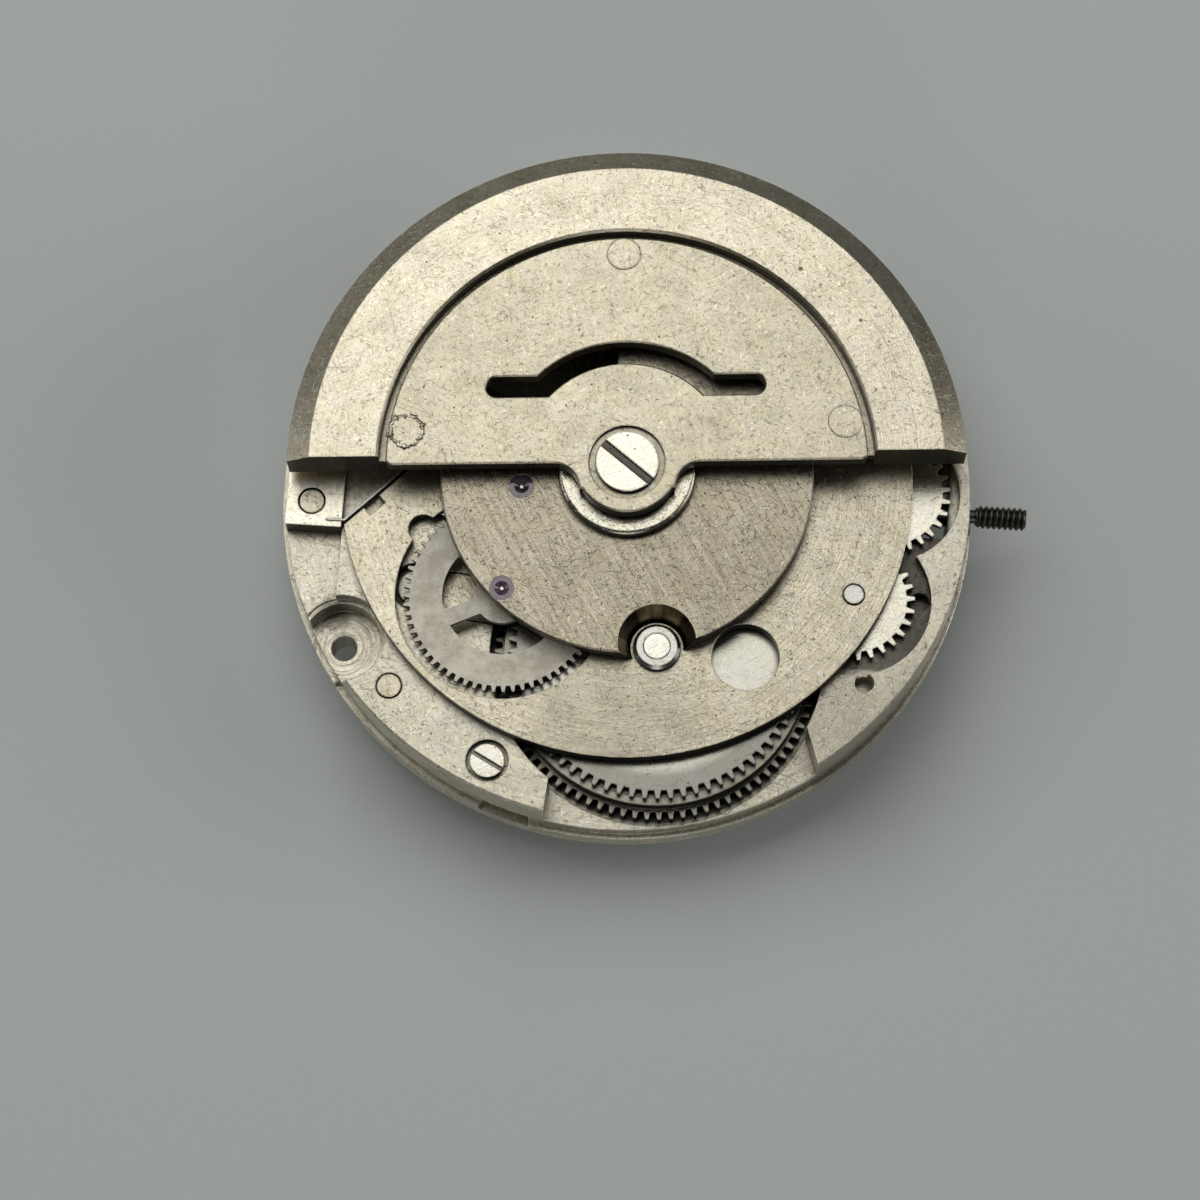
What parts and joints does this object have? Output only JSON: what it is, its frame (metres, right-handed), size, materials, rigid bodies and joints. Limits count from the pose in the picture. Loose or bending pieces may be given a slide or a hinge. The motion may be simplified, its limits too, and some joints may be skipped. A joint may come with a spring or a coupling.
{
  "type": "automatic watch movement",
  "caption": "Round self-winding mechanical watch movement with a half-disc rotor, open winding wheels, balance, barrel and stem, resting dial side down.",
  "frame": {"origin": "where the axis of the hands meets the plane that the dial rests on", "axes": "+Z out of the back towards the rotor, +X along the winding stem and out of the case, +Y completes the right-handed frame"},
  "size_m": [0.028, 0.026, 0.0076],
  "materials": {
    "nickel": "nickel-plated, milled and tarnished",
    "bridge_grey": "nickel-plated, straight-grained",
    "rotor_nickel": "nickel-plated, mottled with age",
    "weight_metal": "nickel-plated heavy alloy, bevelled edge",
    "steel": "polished",
    "dark_steel": "oxidised thread",
    "wheel_brass": "gilt",
    "ivory_plastic": "ivory white, satin",
    "ruby": "synthetic ruby, purple",
    "white_paint": "date ring, printed"
  },
  "bodies": {
    "movement": {"main_plate": "nickel", "lower_bridge": "nickel", "auto_bridge": "bridge_grey", "balance_cock": "nickel", "pallet_bridge": "nickel", "reduction_cock": "nickel", "upper_jewels": "ruby", "plate_jewels": "ruby", "bearing_bushes": "steel", "winding_studs": "steel", "bearing_ring": "steel", "bearing_balls": "steel", "bridge_screws": "steel", "calendar_screws": "steel", "locating_pins": "steel", "click_spring": "steel", "clamp_block": "nickel", "hairspring": "steel", "date_jumper": "steel", "calendar_plate": "nickel"},
    "rotor": {"rotor_hub": "steel", "rotor_plate": "rotor_nickel", "rotor_weight": "weight_metal", "rotor_rivets": "rotor_nickel", "rotor_screw": "steel"},
    "reversing_wheel": {"reversing_wheel": "wheel_brass"},
    "reversing_pinion": {"reversing_pinion": "steel"},
    "reduction": {"reduction_wheel": "ivory_plastic", "reduction_pinion": "steel"},
    "ratchet": {"ratchet_wheel": "steel", "barrel_arbor": "steel"},
    "transmission": {"transmission_wheel": "steel"},
    "crown_wheel": {"crown_wheel": "steel"},
    "winding_pinion": {"winding_pinion": "steel"},
    "stem": {"stem": "dark_steel"},
    "sliding_clutch": {"sliding_clutch": "steel"},
    "setting_lever": {"setting_lever": "steel"},
    "yoke": {"yoke": "steel"},
    "click": {"click": "steel"},
    "barrel": {"barrel_drum": "nickel", "barrel_cover": "nickel", "mainspring": "steel"},
    "centre": {"centre_wheel": "wheel_brass", "cannon_pinion": "steel"},
    "third": {"third_wheel": "wheel_brass"},
    "fourth": {"fourth_wheel": "wheel_brass"},
    "seconds": {"seconds_pinion": "steel"},
    "escape": {"escape_wheel": "steel"},
    "fork": {"pallet_fork": "steel", "pallet_stones": "ruby"},
    "balance": {"balance_wheel": "wheel_brass", "balance_staff": "steel", "roller": "steel"},
    "regulator": {"regulator": "steel"},
    "minute": {"minute_wheel": "steel"},
    "hour": {"hour_wheel": "wheel_brass"},
    "setting": {"setting_wheel": "steel"},
    "date_between": {"date_between_wheel": "wheel_brass"},
    "date_driving": {"date_driving_wheel": "wheel_brass"},
    "date_ring": {"date_ring": "white_paint"}
  },
  "joints": [
    {"name": "rotor_turn", "type": "hinge", "parent": "movement", "child": "rotor", "pos_m": [0, 0, 0.00507], "axis": [0, 0, 1], "continuous": true},
    {"name": "reversing_wheel_turn", "type": "hinge", "parent": "movement", "child": "reversing_wheel", "pos_m": [-0.00384, -0.00079, 0.00372], "axis": [0, 0, 1], "continuous": true},
    {"name": "ratchet_turn", "type": "hinge", "parent": "movement", "child": "ratchet", "pos_m": [0.0015, -0.00643, 0.00272], "axis": [0, 0, 1], "continuous": true},
    {"name": "transmission_turn", "type": "hinge", "parent": "movement", "child": "transmission", "pos_m": [0.00859, -0.00393, 0.00272], "axis": [0, 0, 1], "continuous": true},
    {"name": "crown_wheel_turn", "type": "hinge", "parent": "movement", "child": "crown_wheel", "pos_m": [0.00976, 0.00028, 0.00272], "axis": [0, 0, 1], "continuous": true},
    {"name": "stem_turn", "type": "hinge", "parent": "movement", "child": "winding_pinion", "pos_m": [0.01032, 0, 0.00165], "axis": [1, 0, 0], "continuous": true},
    {"name": "reduction_turn", "type": "hinge", "parent": "movement", "child": "reduction", "pos_m": [-0.00428, -0.00474, 0.00328], "axis": [0, 0, 1], "continuous": true},
    {"name": "reversing_pinion_turn", "type": "hinge", "parent": "movement", "child": "reversing_pinion", "pos_m": [-0.00384, -0.00079, 0.00328], "axis": [0, 0, 1], "continuous": true},
    {"name": "stem_pull", "type": "slide", "parent": "winding_pinion", "child": "stem", "axis": [1, 0, 0], "range_m": [0, 0.0007]},
    {"name": "clutch_slide", "type": "slide", "parent": "winding_pinion", "child": "sliding_clutch", "axis": [1, 0, 0], "range_m": [-0.0005, 0]},
    {"name": "setting_lever_swing", "type": "hinge", "parent": "movement", "child": "setting_lever", "pos_m": [0.0099, -0.0023, 0.00045], "axis": [0, 0, 1], "range_deg": [-19.8, 0]},
    {"name": "yoke_swing", "type": "hinge", "parent": "movement", "child": "yoke", "pos_m": [0.0073, 0.0027, 0.00045], "axis": [0, 0, 1], "range_deg": [-11.45, 0]},
    {"name": "click_swing", "type": "hinge", "parent": "movement", "child": "click", "pos_m": [-0.00739, -0.00117, 0.00307], "axis": [0, 0, 1], "range_deg": [0, 4], "stiffness_Nm_per_rad": 0.00002},
    {"name": "fourth_turn", "type": "hinge", "parent": "movement", "child": "fourth", "pos_m": [0.00496, 0.00689, 0.00175], "axis": [0, 0, 1], "continuous": true},
    {"name": "third_turn", "type": "hinge", "parent": "movement", "child": "third", "pos_m": [0.00213, 0.0037, 0.0025], "axis": [0, 0, 1], "continuous": true},
    {"name": "centre_turn", "type": "hinge", "parent": "movement", "child": "centre", "pos_m": [0, 0, 0.00122], "axis": [0, 0, 1], "continuous": true},
    {"name": "barrel_turn", "type": "hinge", "parent": "movement", "child": "barrel", "pos_m": [0.0015, -0.00643, 0.0015], "axis": [0, 0, 1], "continuous": true},
    {"name": "seconds_turn", "type": "hinge", "parent": "movement", "child": "seconds", "pos_m": [0, 0, 0.0025], "axis": [0, 0, 1], "continuous": true},
    {"name": "escape_turn", "type": "hinge", "parent": "movement", "child": "escape", "pos_m": [0.00143, 0.00784, 0.00215], "axis": [0, 0, 1], "continuous": true},
    {"name": "minute_turn", "type": "hinge", "parent": "movement", "child": "minute", "pos_m": [0.00221, -0.00098, 0.00045], "axis": [0, 0, 1], "continuous": true},
    {"name": "hour_turn", "type": "hinge", "parent": "movement", "child": "hour", "pos_m": [0, 0, 0.00012], "axis": [0, 0, 1], "continuous": true},
    {"name": "setting_turn", "type": "hinge", "parent": "movement", "child": "setting", "pos_m": [0.00587, -0.00034, 0.0005], "axis": [0, 0, 1], "continuous": true},
    {"name": "date_between_turn", "type": "hinge", "parent": "movement", "child": "date_between", "pos_m": [-0.00363, -0.00132, 0.00012], "axis": [0, 0, 1], "continuous": true},
    {"name": "date_driving_turn", "type": "hinge", "parent": "movement", "child": "date_driving", "pos_m": [-0.00635, -0.00231, 0.00042], "axis": [0, 0, 1], "continuous": true},
    {"name": "fork_swing", "type": "hinge", "parent": "movement", "child": "fork", "pos_m": [-0.00083, 0.00742, 0.00215], "axis": [0, 0, 1], "range_deg": [-6, 6]},
    {"name": "balance_swing", "type": "hinge", "parent": "movement", "child": "balance", "pos_m": [-0.00388, 0.00686, 0.00275], "axis": [0, 0, 1], "range_deg": [-270, 270], "stiffness_Nm_per_rad": 0.000001},
    {"name": "regulator_swing", "type": "hinge", "parent": "movement", "child": "regulator", "pos_m": [-0.00388, 0.00686, 0.00387], "axis": [0, 0, 1], "range_deg": [-15, 15]},
    {"name": "date_ring_turn", "type": "hinge", "parent": "movement", "child": "date_ring", "pos_m": [0, 0, 0.00012], "axis": [0, 0, 1], "continuous": true}
  ],
  "couplings": [
    {"joint": "reversing_wheel_turn", "follows": "rotor_turn", "ratio": -0.44444},
    {"joint": "transmission_turn", "follows": "ratchet_turn", "ratio": -2.4483},
    {"joint": "crown_wheel_turn", "follows": "ratchet_turn", "ratio": 2.4483},
    {"joint": "stem_turn", "follows": "ratchet_turn", "ratio": -2.8249},
    {"joint": "reduction_turn", "follows": "ratchet_turn", "ratio": -7.8889},
    {"joint": "reversing_pinion_turn", "follows": "ratchet_turn", "ratio": 71},
    {"joint": "clutch_slide", "follows": "stem_pull", "ratio": -0.71429},
    {"joint": "setting_lever_swing", "follows": "stem_pull", "rad_per_m": -493.19},
    {"joint": "yoke_swing", "follows": "stem_pull", "rad_per_m": -285.2},
    {"joint": "third_turn", "follows": "fourth_turn", "ratio": -0.13333},
    {"joint": "centre_turn", "follows": "fourth_turn", "ratio": 0.016667},
    {"joint": "barrel_turn", "follows": "fourth_turn", "ratio": -0.0019841},
    {"joint": "seconds_turn", "follows": "fourth_turn", "ratio": 1},
    {"joint": "escape_turn", "follows": "fourth_turn", "ratio": -12},
    {"joint": "minute_turn", "follows": "fourth_turn", "ratio": -0.0055556},
    {"joint": "hour_turn", "follows": "fourth_turn", "ratio": 0.0013889},
    {"joint": "setting_turn", "follows": "fourth_turn", "ratio": 0.0052632},
    {"joint": "date_between_turn", "follows": "fourth_turn", "ratio": -0.0013889},
    {"joint": "date_driving_turn", "follows": "fourth_turn", "ratio": 0.0006944}
  ]
}
